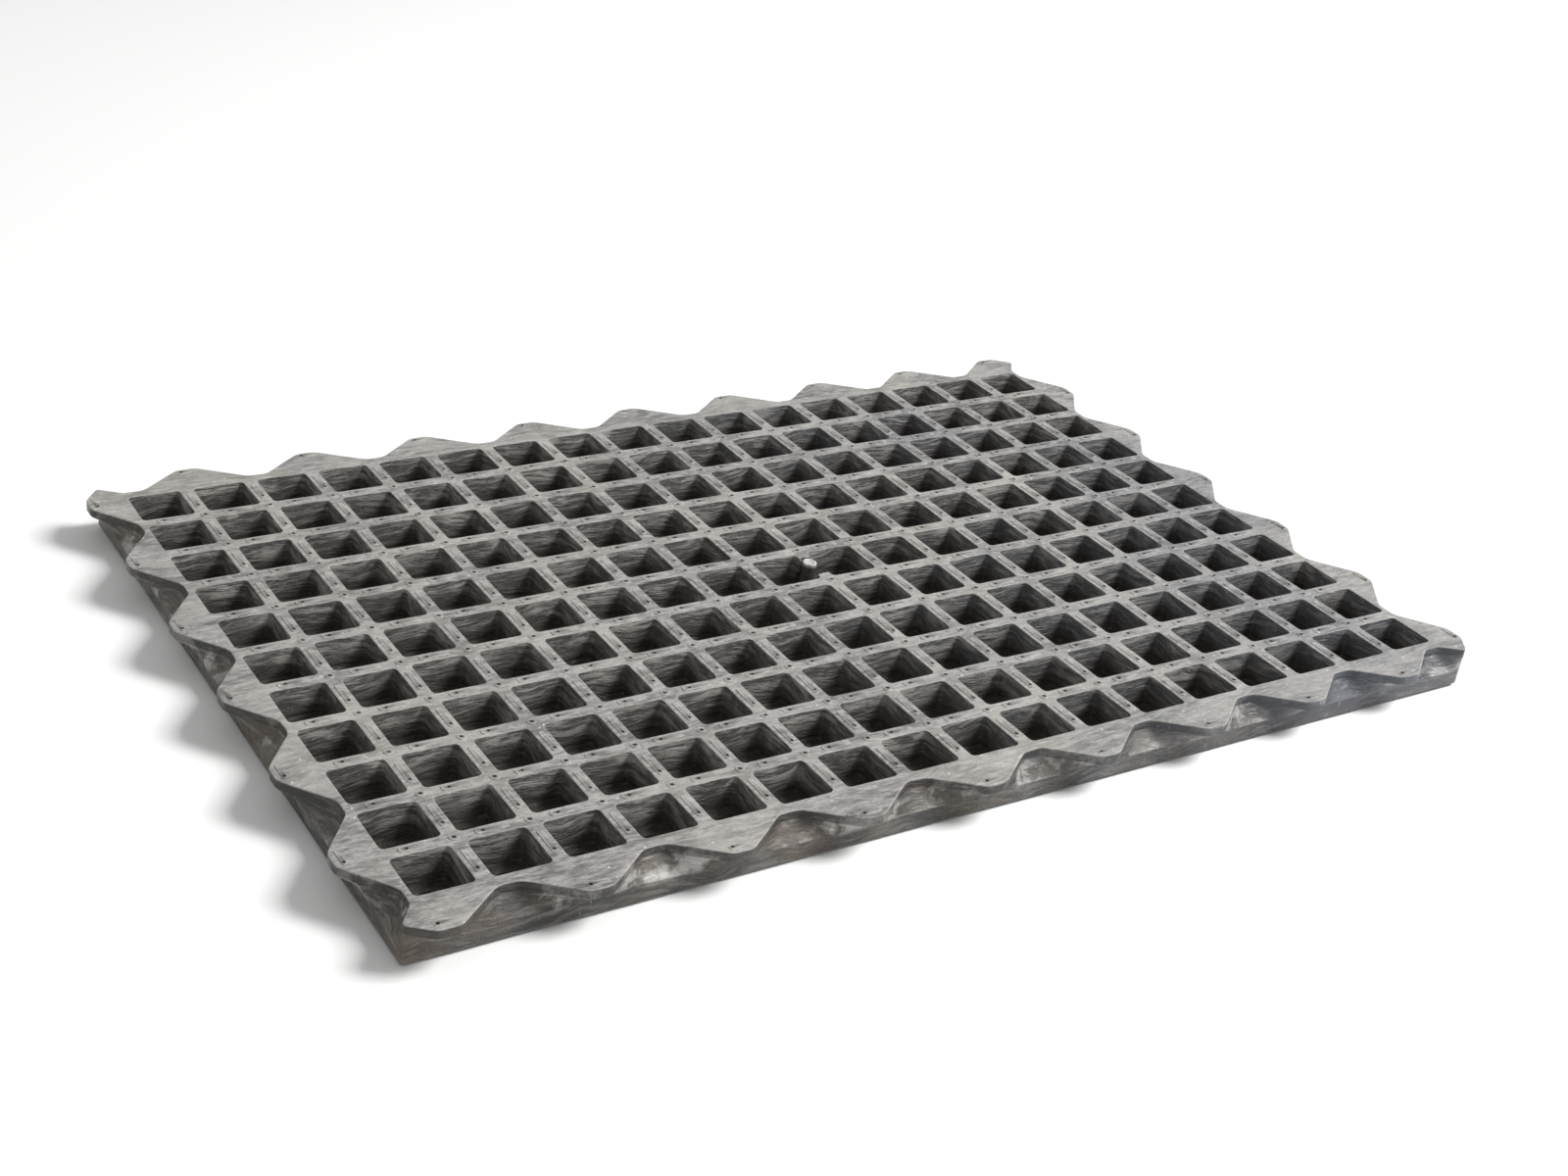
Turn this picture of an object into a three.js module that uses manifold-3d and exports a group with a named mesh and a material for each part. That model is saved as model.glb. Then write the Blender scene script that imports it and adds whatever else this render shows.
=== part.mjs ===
// Heavy duty grid mat, moulded in one piece from recycled plastic. Millimetres, +Z up.
// The grid face is up, with its long side along X. The origin is at the middle of the underside.

import * as THREE from "three";
import { mergeGeometries, mergeVertices } from "three/addons/utils/BufferGeometryUtils.js";
import Module from "manifold-3d";

const wasm = await Module();
wasm.setup();

// Cells
const cellsLong = 17; // along X
const cellsWide = 11; // along Y
const cellMouth = 52; // side of a cell at the grid face
const cellFloorSide = 46; // side of a cell at its floor
const ribTop = 14.5; // width of a rib at the grid face

// Heights above the ground
const matHeight = 43;
const plateEdgeTop = 19.5; // top of the straight edge of the closed plate
const cellFloor = 12; // top of the plate inside a cell
const toothLip = 10; // height of the upright face of a tooth, down from the grid face

// Drain holes, one in each cell floor
const drainDiameter = 27;
const drainSides = 8;

// Toothed rim
const toothPitchWanted = 130; // the real pitch divides each side into whole teeth
const toothDepth = 34; // from root to tip
const toothFlat = 20; // straight length at each tip and root
const toothRounding = 7; // length taken off each side of an outline corner
const endLand = 6; // rim left beside a cell at a tooth root, on the two short sides
const sideLand = 12; // the same on the two long sides
const plateSetback = 1; // from the middle line of the teeth in to the straight edge of the plate

// How far a cutter reaches past the face it cuts
const cutClearance = 5;

// The middle line of the teeth is a rectangle around the cells
const cellPitch = cellMouth + ribTop;
const rimLength = cellsLong * cellPitch - ribTop + 2 * endLand + toothDepth;
const rimWidth = cellsWide * cellPitch - ribTop + 2 * sideLand + toothDepth;
const plateLength = rimLength - 2 * plateSetback;
const plateWidth = rimWidth - 2 * plateSetback;

// A closed three.js geometry as a solid that can be joined and cut.
function solid(geometry) {
  const bare = geometry.clone();
  bare.deleteAttribute("normal");
  bare.deleteAttribute("uv");
  const merged = mergeVertices(bare, 1e-4);
  const vertProperties = new Float32Array(merged.attributes.position.array);
  const triVerts = new Uint32Array(merged.index.array);
  return new wasm.Manifold(new wasm.Mesh({ numProp: 3, vertProperties, triVerts }));
}

// The surface of a solid as a three.js geometry.
function surface(body) {
  const mesh = body.getMesh();
  const geometry = new THREE.BufferGeometry();
  geometry.setAttribute("position", new THREE.BufferAttribute(mesh.vertProperties, 3));
  geometry.setIndex(new THREE.BufferAttribute(mesh.triVerts, 1));
  geometry.computeVertexNormals();
  return geometry;
}

// A block from level low to level high, whose length and width change evenly from bottom to top.
function frustum(low, bottomLength, bottomWidth, high, topLength, topWidth) {
  const geometry = new THREE.BoxGeometry(1, 1, 1);
  const corner = geometry.attributes.position;
  for (let i = 0; i < corner.count; i++) {
    const top = corner.getZ(i) > 0;
    const x = corner.getX(i) * (top ? topLength : bottomLength);
    const y = corner.getY(i) * (top ? topWidth : bottomWidth);
    corner.setXYZ(i, x, y, top ? high : low);
  }
  return geometry;
}

// One side of the toothed outline, from the corner at start towards +X turned by angle.
// Each pitch holds first a tooth and then a root. The outline starts and ends on the middle line.
function toothedSide(start, length, angle) {
  const teeth = Math.max(1, Math.round(length / toothPitchWanted));
  const pitch = length / teeth;
  const reach = toothDepth / 2;
  const half = toothFlat / 2;
  const points = [new THREE.Vector2(0, 0)];
  for (let tooth = 0; tooth < teeth; tooth++) {
    const tip = (tooth + 0.25) * pitch;
    const root = (tooth + 0.75) * pitch;
    points.push(new THREE.Vector2(tip - half, -reach), new THREE.Vector2(tip + half, -reach));
    points.push(new THREE.Vector2(root - half, reach), new THREE.Vector2(root + half, reach));
  }
  return points.map((point) => point.rotateAround(new THREE.Vector2(), angle).add(start));
}

// The same outline with each corner cut back along both its sides.
function rounded(points) {
  return points.flatMap((point, i) => {
    const before = points[(i + points.length - 1) % points.length];
    const after = points[(i + 1) % points.length];
    const cut = (end) => {
      const distance = point.distanceTo(end);
      return point.clone().lerp(end, Math.min(toothRounding, distance / 3) / distance);
    };
    return [cut(before), cut(after)];
  });
}

// The outline of the grid face, counterclockwise from the front left corner.
function rimOutline() {
  const x = rimLength / 2;
  const y = rimWidth / 2;
  return rounded([
    ...toothedSide(new THREE.Vector2(-x, -y), rimLength, 0),
    ...toothedSide(new THREE.Vector2(x, -y), rimWidth, Math.PI / 2),
    ...toothedSide(new THREE.Vector2(x, y), rimLength, Math.PI),
    ...toothedSide(new THREE.Vector2(-x, y), rimWidth, -Math.PI / 2),
  ]);
}

// The toothed slab above the plate. The underside of each tooth slopes in to the plate's edge.
function toothedSlab() {
  const height = matHeight - plateEdgeTop;
  const outline = new THREE.ExtrudeGeometry(new THREE.Shape(rimOutline()), {
    depth: height,
    bevelEnabled: false,
  });
  outline.translate(0, 0, plateEdgeTop);
  const overhang = toothDepth / 2 + plateSetback;
  const spread = (2 * overhang * height) / (height - toothLip);
  const flare = frustum(
    plateEdgeTop,
    plateLength,
    plateWidth,
    matHeight,
    plateLength + spread,
    plateWidth + spread,
  );
  return solid(outline).intersect(solid(flare));
}

// The plate, with the bank that rises from its edge to the lip of each root between two teeth.
function plate() {
  const slab = frustum(0, plateLength, plateWidth, plateEdgeTop, plateLength, plateWidth);
  const inset = toothDepth - 2 * plateSetback;
  const bank = frustum(
    plateEdgeTop,
    plateLength,
    plateWidth,
    matHeight - toothLip,
    plateLength - inset,
    plateWidth - inset,
  );
  return solid(slab).add(solid(bank));
}

// One copy of a cutter at the middle of every cell.
function atEachCell(cutter) {
  const copies = [];
  for (let column = 0; column < cellsLong; column++) {
    for (let row = 0; row < cellsWide; row++) {
      const x = (column - (cellsLong - 1) / 2) * cellPitch;
      const y = (row - (cellsWide - 1) / 2) * cellPitch;
      copies.push(cutter.clone().translate(x, y, 0));
    }
  }
  return solid(mergeGeometries(copies));
}

// The tapered space of each cell, carried on past the grid face at the same slope.
function cells() {
  const widening = (cellMouth - cellFloorSide) / (matHeight - cellFloor);
  const side = cellMouth + widening * cutClearance;
  const top = matHeight + cutClearance;
  return atEachCell(frustum(cellFloor, cellFloorSide, cellFloorSide, top, side, side));
}

function drains() {
  const radius = drainDiameter / 2;
  const height = cellFloor + 2 * cutClearance;
  const drain = new THREE.CylinderGeometry(radius, radius, height, drainSides);
  drain.rotateX(Math.PI / 2).translate(0, 0, height / 2 - cutClearance);
  return atEachCell(drain);
}

const recycledPlastic = new THREE.MeshStandardMaterial({
  color: 0x6f6e6b,
  roughness: 0.72,
  metalness: 0,
});

const gridMat = new THREE.Mesh(
  surface(toothedSlab().add(plate()).subtract(cells()).subtract(drains())),
  recycledPlastic,
);
gridMat.name = "grid_mat";

const part = new THREE.Group();
part.add(gridMat);

export default part;
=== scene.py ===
"""Looks of a heavy duty grid mat, one moulding of recycled plastic: open square cells, a toothed rim and a
raised tread pattern on the underside. Metres, +Z up, grid face up, long side along X."""

import math

import bmesh
import bpy
from bpy.props import FloatProperty, FloatVectorProperty, IntProperty, PointerProperty
from mathutils import Matrix, Vector, noise
from mathutils.geometry import delaunay_2d_cdt


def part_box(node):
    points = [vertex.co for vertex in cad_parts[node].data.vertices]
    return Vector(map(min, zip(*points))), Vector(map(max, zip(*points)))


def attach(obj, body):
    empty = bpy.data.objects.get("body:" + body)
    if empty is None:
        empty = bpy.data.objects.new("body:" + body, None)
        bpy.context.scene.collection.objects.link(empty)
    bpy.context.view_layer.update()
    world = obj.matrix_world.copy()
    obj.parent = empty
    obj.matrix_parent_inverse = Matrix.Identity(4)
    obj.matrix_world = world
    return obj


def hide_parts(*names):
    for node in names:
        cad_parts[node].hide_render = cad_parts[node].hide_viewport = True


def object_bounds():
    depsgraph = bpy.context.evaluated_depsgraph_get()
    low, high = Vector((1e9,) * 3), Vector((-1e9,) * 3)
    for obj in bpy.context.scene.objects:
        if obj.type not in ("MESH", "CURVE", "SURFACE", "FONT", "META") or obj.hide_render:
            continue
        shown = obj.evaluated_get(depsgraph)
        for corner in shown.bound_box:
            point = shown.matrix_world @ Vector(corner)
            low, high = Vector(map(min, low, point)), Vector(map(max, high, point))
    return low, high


bl_info = {
    "name": "Heavy duty grid mat",
    "version": (1, 0, 0),
    "blender": (4, 5, 0),
    "location": "3D View > Sidebar > Grid Mat",
    "description": "Builds the moulded surface of a recycled plastic grid mat, its finish and a plain stage",
    "category": "Object",
}

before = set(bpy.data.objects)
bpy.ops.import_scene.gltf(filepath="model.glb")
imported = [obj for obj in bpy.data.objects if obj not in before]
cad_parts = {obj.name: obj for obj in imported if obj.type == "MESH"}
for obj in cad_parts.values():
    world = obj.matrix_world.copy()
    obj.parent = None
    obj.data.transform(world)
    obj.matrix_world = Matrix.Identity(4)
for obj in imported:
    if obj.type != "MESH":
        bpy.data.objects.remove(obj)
cad_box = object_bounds()
cad_low, cad_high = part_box("grid_mat")

QUARTER = math.pi / 2
ARC_STEPS = 4  # segments in the rounded corner of a cell
MARK_STEPS = 2  # segments in the rounded corner of a raised mark
WELD = 1e-6  # points closer than this are one
UNEVENNESS = ((14.0, 0.0004), (60.0, 0.00012))  # waves to a metre, and their height
DRAG_PLACE = (0.02, -0.15, 0.04)  # middle of the scratches where something was dragged

# Finish zones, in the order of the material slots
GRID_FACE, CELL_WALL, RIM_SIDE, TREAD_FACE = range(4)


def length(name, description, default):
    """A property that holds a size."""
    return FloatProperty(
        name=name, description=description, default=default, min=0.0, precision=4,
        subtype="DISTANCE", unit="LENGTH",
    )


def tint(name, description, default):
    """A property that holds a linear colour."""
    return FloatVectorProperty(
        name=name, description=description, default=default, min=0.0, max=1.0, size=3, subtype="COLOR"
    )


class GridSizes(bpy.types.PropertyGroup):
    """Cells, ribs and the small marks on the grid face."""

    columns: IntProperty(name="Columns", description="Cells along the long side", default=17, min=1)
    rows: IntProperty(name="Rows", description="Cells along the short side", default=11, min=1)
    pitch: length("Pitch", "From one cell to the next", 0.0665)
    mouth: length("Mouth", "Side of a cell at the grid face", 0.052)
    floor_side: length("Floor side", "Side of a cell just above its floor", 0.046)
    floor_level: length("Floor level", "Height of the cell floors", 0.012)
    corner_radius: length("Corner radius", "Rounding between two walls of a cell", 0.0042)
    edge_round: length("Edge rounding", "Rounding of the ribs along a cell's mouth", 0.0014)
    floor_round: length("Floor rounding", "Rounding between wall and floor", 0.0022)
    drain: length("Drain hole", "Diameter of the hole in a cell floor", 0.027)
    drain_edge: length("Drain edge", "Bevel of the hole on the tread face", 0.0007)
    mark_height: length("Mark height", "Height of nubs and bars above the ribs", 0.0008)
    mark_slope: length("Mark slope", "Run of the sloped side of a nub or bar", 0.0006)
    nub: length("Nub", "Diameter of the nub on each crossing", 0.0092)
    pin: length("Pin mark", "Diameter of an ejector pin's hollow", 0.0036)
    pin_depth: length("Pin depth", "Depth of an ejector pin's hollow", 0.0011)
    bar_round: length("Bar rounding", "Rounding of a bar's corners", 0.0018)
    x_bar: length("X bar length", "Length of the bars on ribs along X", 0.030)
    x_bar_width: length("X bar width", "Width of the bars on ribs along X", 0.0078)
    x_bar_pin: length("X bar pin", "Pin mark left of the middle of these bars", 0.0078)
    y_bar: length("Y bar length", "Length of the bars on ribs along Y", 0.033)
    y_bar_width: length("Y bar width", "Width of the bars on ribs along Y", 0.0064)
    y_bar_pin: length("Y bar pin", "Pin mark in front of the middle of these bars", 0.0112)


class RimSizes(bpy.types.PropertyGroup):
    """Toothed rim, and the plate whose straight edge lies under it."""

    tooth_pitch: length("Tooth pitch", "Wanted pitch; each side holds whole teeth", 0.130)
    tooth_depth: length("Tooth depth", "From root to tip", 0.034)
    tooth_flat: length("Tooth flat", "Straight length at each tip and root", 0.020)
    tooth_round: length("Tooth rounding", "Length taken off each side of an outline corner", 0.0054)
    lip: length("Lip", "Height of the upright edge of the teeth", 0.010)
    lip_round: length("Lip rounding", "Rounding of the lip's upper edge", 0.0013)
    hollow: length("Scoop hollow", "How far the slopes below the lip are hollowed", 0.0026)
    plate_top: length("Plate top", "Top of the plate's straight edge", 0.0195)
    plate_setback: length("Plate setback", "From the teeth's middle line in to the plate's edge", 0.001)
    plate_ledge: length("Plate ledge", "Small step where the scoops meet the plate's edge", 0.0005)
    plate_round: length("Plate rounding", "Rounding of the plate's lower edge", 0.0012)
    bar: length("Tip bar length", "Length of the bar near each tooth tip", 0.022)
    bar_width: length("Tip bar width", "Width of the bar near each tooth tip", 0.0046)
    bar_inset: length("Tip bar inset", "From the tooth tip in to the middle of the bar", 0.0072)
    bar_pin: length("Tip bar pin", "Pin mark beside the middle of the bar", 0.0072)


class TreadSizes(bpy.types.PropertyGroup):
    """Raised squares and dashes on the underside."""

    relief: length("Relief", "Height of squares and dashes", 0.0025)
    slope: length("Slope", "Run of the sloped side of a square or dash", 0.0007)
    edge: length("Edge rounding", "Rounding of their outer edge", 0.0005)
    square: length("Square", "Side of a square, centred on the rib crossings", 0.033)
    square_round: length("Square rounding", "Rounding of a square's corners", 0.0026)
    border: length("Border", "From the plate's edge in to the outermost squares", 0.007)
    x_dash: length("X dash length", "Length of the dashes along X", 0.026)
    x_dash_width: length("X dash width", "Width of the dashes along X", 0.0092)
    y_dash: length("Y dash length", "Length of the dashes along Y", 0.0216)
    y_dash_width: length("Y dash width", "Width of the dashes along Y", 0.0104)
    dash_round: length("Dash rounding", "Rounding of a dash's corners", 0.003)


class ScarSizes(bpy.types.PropertyGroup):
    """The broken rib and the sprue stub left by the moulding gate."""

    column: IntProperty(name="Column", description="The rib is on its +X side", default=8, min=0)
    row: IntProperty(name="Row", description="Row of the broken rib", default=5, min=0)
    gap_front: length("Gap in front", "Broken length in front of the cell's middle", 0.0185)
    gap_back: length("Gap behind", "Broken length behind the cell's middle", 0.0165)
    ragged: length("Ragged edge", "Unevenness of the broken faces", 0.0028)
    sill: length("Sill", "Height of the broken wall left above the floor", 0.004)
    stub: length("Stub", "Diameter of the sprue stub", 0.0152)
    stub_back: length("Stub place", "From the cell's middle back to the stub's middle", 0.0076)
    stub_top: length("Stub top", "Height of the stub's snapped top", 0.0424)


class FinishValues(bpy.types.PropertyGroup):
    """Colours of the recycled plastic and what lies on it; some also serve as painted shade and painted
    highlights.
    """

    # Also used for painted highlights along rounded edges, besides wear and light streaks.
    worn: tint("Worn plastic", "Worn ribs and edges", (0.44, 0.43, 0.41))
    # Also used for painted highlights in the light patches on the rim's scoops.
    scuff: tint("Scuffed plastic", "Scratches, flecks and torn plastic", (0.66, 0.64, 0.61))
    rib: tint("Rib plastic", "Rib tops and rim top", (0.32, 0.31, 0.295))
    rib_dark: tint("Dark rib plastic", "Dark flow streaks on ribs and rim", (0.105, 0.102, 0.098))
    wall: tint("Wall plastic", "Light flow streaks on the cell walls", (0.40, 0.38, 0.35))
    wall_dark: tint("Dark wall plastic", "Cell walls", (0.075, 0.072, 0.068))
    side: tint("Side plastic", "Light streaks on the rim's side", (0.155, 0.146, 0.132))
    side_dark: tint("Dark side plastic", "The rim's side", (0.036, 0.035, 0.034))
    tread: tint("Tread plastic", "The tread face", (0.19, 0.18, 0.185))
    tread_pad: tint("Pad plastic", "Faces of the squares and dashes", (0.27, 0.25, 0.235))
    cool: tint("Cool plastic", "Bluish batches of plastic", (0.10, 0.115, 0.15))
    dust: tint("Dust", "Dry dust", (0.50, 0.47, 0.42))
    # Also used for painted shade: deep in the cells, down the sprue stub's side and in hollows.
    soil: tint("Soil", "Soil in hollows", (0.035, 0.028, 0.022))
    earth: tint("Earth", "Brown earth film on the sides", (0.15, 0.118, 0.085))


class StageValues(bpy.types.PropertyGroup):
    """Floor, light and camera."""

    floor: tint("Floor", "Floor colour", (0.86, 0.86, 0.855))
    floor_size: length("Floor size", "Side of the floor", 80.0)
    surround: FloatProperty(name="Surround", description="Strength of the white surround", default=0.5)
    key_power: FloatProperty(name="Key power", description="Power of the key light", default=460, unit="POWER")
    key_size: length("Key size", "Side of the key light", 2.25)
    key_distance: length("Key distance", "From the key light to the middle of the mat", 6.0)
    key_way: FloatVectorProperty(
        name="Key direction", description="Where the key light stands", default=(1.0, -0.42, 1.2), subtype="XYZ"
    )
    azimuth: FloatProperty(
        name="Azimuth", description="Where the camera stands, from the front", default=math.radians(-35.2),
        subtype="ANGLE", unit="ROTATION",
    )
    elevation: FloatProperty(
        name="Elevation", description="How high the camera stands", default=math.radians(27.9),
        subtype="ANGLE", unit="ROTATION",
    )
    roll: FloatProperty(
        name="Roll", description="Turn of the camera about its view", default=math.radians(7.4),
        subtype="ANGLE", unit="ROTATION",
    )
    distance: length("Distance", "From the camera to the middle of the mat", 2.213)
    lens: FloatProperty(name="Lens", description="Focal length on a 36 mm frame", default=50.0, unit="CAMERA")


class GridMatSettings(bpy.types.PropertyGroup):
    """All the settings of the grid mat."""

    grid: PointerProperty(type=GridSizes)
    rim: PointerProperty(type=RimSizes)
    tread: PointerProperty(type=TreadSizes)
    scar: PointerProperty(type=ScarSizes)
    finish: PointerProperty(type=FinishValues)
    stage: PointerProperty(type=StageValues)


class Skin:
    """One closed surface, collected face by face. Points at the same place are shared."""

    def __init__(self):
        self.points = []
        # Two masks per point: wear with painted highlight on rounded edges, and soil with painted shade in
        # hollows.
        self.worn = []
        self.soil = []
        self.numbers = {}
        self.faces = []
        self.zones = []

    def point(self, x, y, z, worn=0.0, soil=0.0):
        key = (round(x / WELD), round(y / WELD), round(z / WELD))
        if key not in self.numbers:
            self.numbers[key] = len(self.points)
            self.points.append((x, y, z))
            self.worn.append(worn)
            self.soil.append(soil)
        return self.numbers[key]

    def row(self, outline, level, worn=0.0, soil=0.0):
        return [self.point(x, y, level, worn, soil) for x, y in outline]

    def face(self, corners, zone):
        bare = [corner for i, corner in enumerate(corners) if corner != corners[i - 1]]
        if len(bare) > 2:
            self.faces.append(bare)
            self.zones.append(zone)

    def band(self, row, other, zone):
        """Quads between two closed rows of as many points."""
        for i in range(len(row)):
            self.face((row[i - 1], row[i], other[i], other[i - 1]), zone)

    def bands(self, rows, zone):
        for row, other in zip(rows, rows[1:]):
            self.band(row, other, zone)


def block(x, y, reach, radius, steps):
    """A block with rounded corners seen from above, counterclockwise.

    reach says how far it extends from (x, y) towards +X, +Y, -X and -Y. Each quarter of the outline starts
    where it meets one of these axes, and has its corner's middle halfway.
    """
    points = []
    for quarter in range(4):
        out, side = reach[quarter], reach[(quarter + 1) % 4]
        local = [(out, 0.0)]
        for step in range(steps + 1):
            angle = QUARTER * step / steps
            local.append((out - radius * (1 - math.cos(angle)), side - radius * (1 - math.sin(angle))))
        points += [turned(a, b, quarter, x, y) for a, b in local]
    return points


def circle(x, y, diameter, per_quarter):
    """A circle seen from above, counterclockwise from +X."""
    angles = [QUARTER * i / per_quarter for i in range(4 * per_quarter)]
    return [(x + diameter / 2 * math.cos(angle), y + diameter / 2 * math.sin(angle)) for angle in angles]


def turned(a, b, side, x, y):
    """The place a out and b along, seen from (x, y) towards a side: 0 is +X, 1 +Y, 2 -X and 3 -Y."""
    out, along = ((1, 0), (0, 1), (-1, 0), (0, -1))[side % 4], ((0, 1), (-1, 0), (0, -1), (1, 0))[side % 4]
    return x + a * out[0] + b * along[0], y + a * out[1] + b * along[1]


def quarter_of(outline, quarter):
    """The part of an outline from one axis to the next, both ends included."""
    count = len(outline) // 4
    return [outline[((quarter % 4) * count + i) % len(outline)] for i in range(count + 1)]


def first_half(points):
    return points[: len(points) // 2 + 1]


def second_half(points):
    return points[len(points) // 2 :]


def resized(reach, change):
    return [value + change for value in reach]


class Grid:
    """Places that follow from the sizes of cells, rim and tread."""

    def __init__(self, settings):
        self.grid, self.rim, self.tread = settings.grid, settings.rim, settings.tread
        self.half = self.grid.pitch / 2
        self.top = cad_high.z
        self.rib_level = self.top - self.grid.mark_height
        self.base_level = cad_low.z + self.tread.relief
        self.rim_x = cad_high.x - self.rim.tooth_depth / 2
        self.rim_y = cad_high.y - self.rim.tooth_depth / 2
        self.plate_x = self.rim_x - self.rim.plate_setback
        self.plate_y = self.rim_y - self.rim.plate_setback

    def cell_middle(self, column, row):
        x = (column - (self.grid.columns - 1) / 2) * self.grid.pitch
        y = (row - (self.grid.rows - 1) / 2) * self.grid.pitch
        return x, y

    def crossing(self, column, row):
        """The crossing at the front left corner of a cell."""
        x, y = self.cell_middle(column, row)
        return x - self.half, y - self.half

    def cells(self):
        return [(column, row) for column in range(self.grid.columns) for row in range(self.grid.rows)]

    def is_border(self, column, row, side):
        """Whether a cell has no neighbour on a side."""
        beside = (column + (1, 0, -1, 0)[side % 4], row + (0, 1, 0, -1)[side % 4])
        return not (0 <= beside[0] < self.grid.columns and 0 <= beside[1] < self.grid.rows)

    def mouth(self, column, row, growth=0.0):
        """A cell's outline at its mouth, grown to each side."""
        reach = [self.grid.mouth / 2 + growth] * 4
        return block(*self.cell_middle(column, row), reach, self.grid.corner_radius + growth, ARC_STEPS)

    def nub(self, column, row, change=0.0):
        x, y = self.crossing(column, row)
        return circle(x, y, self.grid.nub + 2 * change, 4)

    def rib_bar(self, column, row, side, change=0.0):
        """The raised bar on the rib beside a cell."""
        x, y = turned(self.half, 0, side, *self.cell_middle(column, row))
        grid = self.grid
        x_half, y_half = (
            (grid.y_bar_width / 2, grid.y_bar / 2) if side % 2 == 0 else (grid.x_bar / 2, grid.x_bar_width / 2)
        )
        reach = resized([x_half, y_half, x_half, y_half], change)
        return block(x, y, reach, grid.bar_round + change, 1)

    def square_reach(self, column, row):
        """How far the square on a crossing extends; at the border it ends short of the plate's edge."""
        x, y = self.crossing(column, row)
        room_x = self.plate_x - self.tread.border - abs(x)
        room_y = self.plate_y - self.tread.border - abs(y)
        half = self.tread.square / 2
        return [
            min(half, room_x) if column == self.grid.columns else half,
            min(half, room_y) if row == self.grid.rows else half,
            min(half, room_x) if column == 0 else half,
            min(half, room_y) if row == 0 else half,
        ]

    def square(self, column, row, change=0.0):
        reach = resized(self.square_reach(column, row), change)
        return block(*self.crossing(column, row), reach, self.tread.square_round + change, MARK_STEPS)

    def dash(self, column, row, side, change=0.0):
        """The dash on the tread face between a cell and its neighbour, ending in line with border squares."""
        x, y = turned(self.half, 0, side, *self.cell_middle(column, row))
        tread = self.tread
        along_x = side % 2 == 0
        sizes = (tread.x_dash, tread.x_dash_width) if along_x else (tread.y_dash_width, tread.y_dash)
        reach = [size / 2 for size in sizes] * 2
        if self.is_border(column, row, side):
            room = self.plate_x - abs(x) if along_x else self.plate_y - abs(y)
            reach[side % 4] = min(reach[side % 4], room - tread.border)
        return block(x, y, resized(reach, change), tread.dash_round + change, 1)


def build_cell(skin, place, column, row):
    """Rounded mouth, tapered walls, floor and drain hole of one cell."""
    grid = place.grid
    x, y = place.cell_middle(column, row)
    slack = grid.edge_round
    lean = slack * (1 - math.sqrt(0.5))
    floor_half = grid.floor_side / 2
    floor_radius = grid.corner_radius * 0.9
    count = ARC_STEPS + 2
    mouth = skin.row(place.mouth(column, row, slack), place.rib_level)
    # The mouth's rounding is marked for wear and painted highlight; wall foot, floor and drain for soil and
    # painted shade.
    shoulder = skin.row(place.mouth(column, row, lean), place.rib_level - lean, worn=1.0)
    wall_top = skin.row(place.mouth(column, row), place.rib_level - slack)
    wall_foot = skin.row(
        block(x, y, [floor_half] * 4, floor_radius, ARC_STEPS), grid.floor_level + grid.floor_round, soil=0.5
    )
    floor_edge = skin.row(
        block(x, y, [floor_half - grid.floor_round] * 4, floor_radius * 0.7, ARC_STEPS),
        grid.floor_level,
        soil=1.0,
    )
    drain_top = skin.row(circle(x, y, grid.drain, count), grid.floor_level, soil=0.8)
    drain_low = skin.row(circle(x, y, grid.drain, count), place.base_level + grid.drain_edge, soil=0.3)
    drain_base = skin.row(circle(x, y, grid.drain + 2 * grid.drain_edge, count), place.base_level)
    skin.bands([mouth, shoulder], GRID_FACE)
    skin.bands([shoulder, wall_top, wall_foot, floor_edge, drain_top, drain_low], CELL_WALL)
    skin.bands([drain_low, drain_base], TREAD_FACE)


def build_tile(skin, ring, corners, sides, level, zone, place, column, row):
    """The flat face around a cell's mouth or drain, out to the middle of the ribs and around their marks.

    A side without a mark is left to the border. A corner without one is cut off straight.
    """
    x, y = place.cell_middle(column, row)
    for side in range(4):
        if sides[side] is None:
            continue
        for ahead in (True, False):
            corner = corners[side if ahead else side - 1]
            if ahead:
                near = first_half(quarter_of(ring, side))
                edge = quarter_of(sides[side], side + 1)
                inner = near[-1]
                facing = second_half(quarter_of(corner, side + 2)) if corner else None
            else:
                near = second_half(quarter_of(ring, side - 1))
                edge = quarter_of(sides[side], side + 2)
                inner = near[0]
                facing = first_half(quarter_of(corner, side + 1)) if corner else None
            if facing is None:
                along = abs(inner[0] - x)
                facing = [turned(place.half, along if ahead else -along, side, x, y)]
            path = near + facing + edge if ahead else near + edge + facing
            skin.face(skin.row(path, level), zone)


def build_pad(skin, feet, tops, low, high, zone, worn=1.0, shoulder=None):
    """A raised mark: its foot, its sloped side and its flat top."""
    rows = [skin.row(feet, low)]
    if shoulder:
        rows.append(skin.row(shoulder[0], shoulder[1], worn))
    rows.append(skin.row(tops, high, 0.0 if shoulder else worn))
    skin.bands(rows, zone)
    return rows[-1]


def build_pin(skin, cap, x, y, place, axis):
    """A flat cap with an ejector pin's round hollow, split along the axis that both lie on."""
    grid = place.grid
    # The pin's hollow is marked for soil and painted shade.
    rim = skin.row(circle(x, y, grid.pin, 2), place.top, soil=0.6)
    base = skin.row(circle(x, y, grid.pin * 0.8, 2), place.top - grid.pin_depth, soil=1.0)
    skin.band(rim, base, GRID_FACE)
    skin.face(base, GRID_FACE)
    count, hollow = len(cap) // 4, len(rim) // 4
    for start in (axis, axis + 2):
        outside = [cap[(start * count + i) % len(cap)] for i in range(2 * count + 1)]
        inside = [rim[(start * hollow + i) % len(rim)] for i in range(2 * hollow, -1, -1)]
        skin.face(outside + inside, GRID_FACE)


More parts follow.
